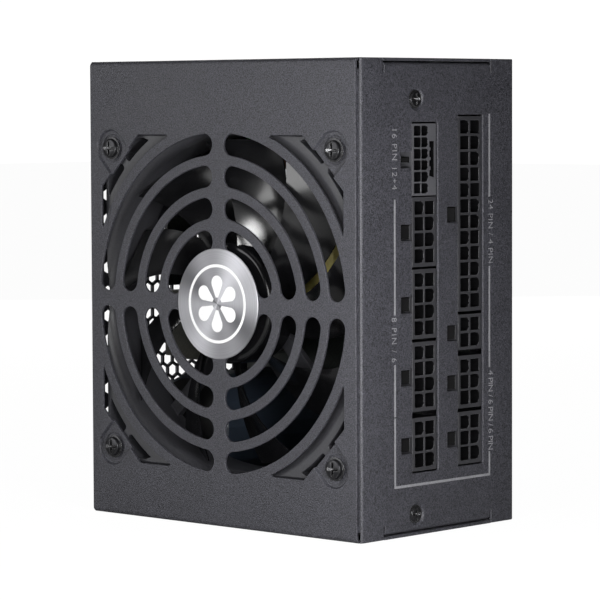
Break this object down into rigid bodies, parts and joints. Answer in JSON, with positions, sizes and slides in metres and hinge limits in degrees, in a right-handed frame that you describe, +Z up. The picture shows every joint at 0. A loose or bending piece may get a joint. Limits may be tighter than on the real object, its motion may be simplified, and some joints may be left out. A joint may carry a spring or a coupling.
{
  "type": "power supply unit",
  "caption": "Compact modular computer power supply: two bent steel sheets around a grilled fan, a mains inlet with rocker switch, and two columns of output sockets.",
  "frame": {"origin": "middle of the narrow flank that the unit stands on, in the plane of that flank", "axes": "+Z up along the 125 mm side, -Y towards the fan face, -X towards the mains end, +X towards the output end"},
  "size_m": [0.1, 0.0641, 0.125],
  "materials": {
    "powder_coat": "fine-grained charcoal powder coat",
    "fan_plastic": "semi-gloss black",
    "socket_plastic": "satin black",
    "black_plastic": "satin black",
    "black_zinc": "black zinc plate",
    "spun_aluminium": "spun and clear-lacquered",
    "bare_aluminium": "extruded, bare",
    "tinned_brass": "tinned",
    "bronze": "sintered",
    "steel": "bright",
    "magnet": "dark ferrite",
    "copper_wire": "enamelled copper",
    "board": "green solder mask on glass-epoxy",
    "black_board": "black solder mask on glass-epoxy",
    "sleeve": "slate-blue shrink sleeve",
    "yellow_tape": "polyester tape",
    "film": "black film and wire jacket",
    "earth_wire": "green wire jacket"
  },
  "bodies": {
    "case": {"badge": "spun_aluminium", "base_chassis": "powder_coat", "board_screw_1": "steel", "board_screw_2": "steel", "board_screw_3": "steel", "board_screw_4": "steel", "board_spacer_1": "tinned_brass", "board_spacer_2": "tinned_brass", "boost_choke": "magnet", "bulk_capacitor": "sleeve", "common_mode_choke": "copper_wire", "cover_screw_1": "black_zinc", "cover_screw_2": "black_zinc", "cover_screw_3": "black_zinc", "cover_screw_4": "black_zinc", "earth_wire": "earth_wire", "fan_bearing": "bronze", "fan_cable": "film", "fan_circuit_board": "board", "fan_cover": "powder_coat", "fan_frame": "fan_plastic", "fan_screw_1": "black_zinc", "fan_screw_2": "black_zinc", "fan_screw_3": "black_zinc", "fan_screw_4": "black_zinc", "fan_stator": "copper_wire", "filter_capacitor": "yellow_tape", "inlet_blade_earth": "tinned_brass", "inlet_blade_live": "tinned_brass", "inlet_blade_neutral": "tinned_brass", "insulation_sheet": "film", "live_wire": "film", "main_board": "board", "mains_fuse": "tinned_brass", "mains_inlet": "black_plastic", "neutral_wire": "sleeve", "output_board": "black_board", "output_capacitor": "bare_aluminium", "panel_screw_1": "black_zinc", "panel_screw_2": "black_zinc", "primary_heatsink": "bare_aluminium", "rectifier_bridge": "black_plastic", "secondary_heatsink": "bare_aluminium", "socket_16_way": "socket_plastic", "socket_24_way": "socket_plastic", "socket_4_way": "socket_plastic", "socket_6_way_1": "socket_plastic", "socket_6_way_2": "socket_plastic", "socket_6_way_3": "socket_plastic", "socket_8_way_1": "socket_plastic", "socket_8_way_2": "socket_plastic", "socket_8_way_3": "socket_plastic", "standby_transformer": "yellow_tape", "switch_bezel": "black_plastic", "transformer_core": "magnet", "transformer_winding": "yellow_tape"},
    "impeller": {"fan_impeller": "fan_plastic", "fan_shaft": "steel", "fan_magnet_ring": "magnet"},
    "rocker": {"switch_rocker": "black_plastic"}
  },
  "joints": [
    {"name": "fan_spin", "type": "hinge", "parent": "case", "child": "impeller", "pos_m": [0, -0.0222, 0.06], "axis": [0, -1, 0], "continuous": true},
    {"name": "switch_rock", "type": "hinge", "parent": "case", "child": "rocker", "pos_m": [-0.046, -0.0067, 0.098], "axis": [0, 1, 0], "range_deg": [-16, 0]}
  ]
}
